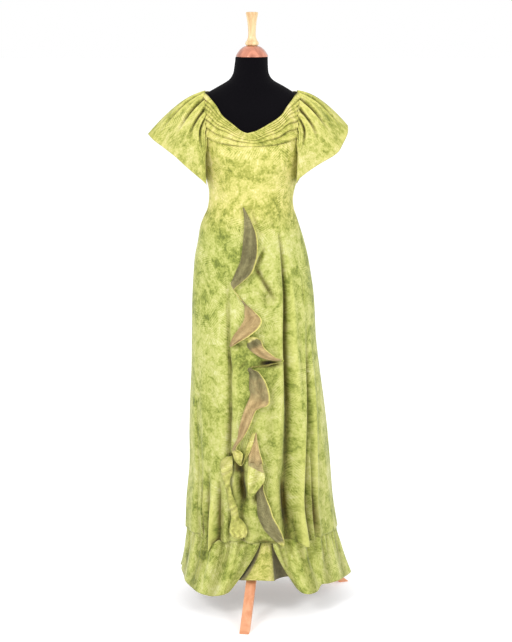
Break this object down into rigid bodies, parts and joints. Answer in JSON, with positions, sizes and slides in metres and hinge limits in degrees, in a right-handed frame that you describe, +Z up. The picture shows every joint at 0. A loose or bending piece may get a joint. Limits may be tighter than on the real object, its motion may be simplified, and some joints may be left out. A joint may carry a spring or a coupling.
{
  "type": "tea gown on dress form",
  "caption": "Long fern-brocade tea gown with bell sleeves, pleated neck band, front cascade and hem flounce, on a limbless dress form with a wooden tripod.",
  "frame": {"origin": "middle of the whole part's box, on the floor", "axes": "+Z up, the gown faces -Y, +X is the wearer's left"},
  "size_m": [0.578, 0.5858, 1.68],
  "materials": {
    "brocade": "silky",
    "jersey": "matte",
    "copper_wood": "gloss",
    "pale_wood": "satin",
    "leg_wood": "satin"
  },
  "bodies": {
    "root": {"front_centre": "brocade", "side_front_left": "brocade", "side_front_right": "brocade", "back": "brocade", "neck_band": "brocade", "sleeve_right": "brocade", "sleeve_left": "brocade", "front_cascade": "brocade", "hem_flounce_left": "brocade", "hem_flounce_right": "brocade", "hem_under_flounce": "brocade", "form_torso": "jersey", "neck_cap": "copper_wood", "neck_finial": "pale_wood", "stand_pole": "leg_wood", "stand_hub": "leg_wood", "leg_front": "leg_wood", "leg_back_left": "leg_wood", "leg_back_right": "leg_wood"}
  },
  "joints": []
}
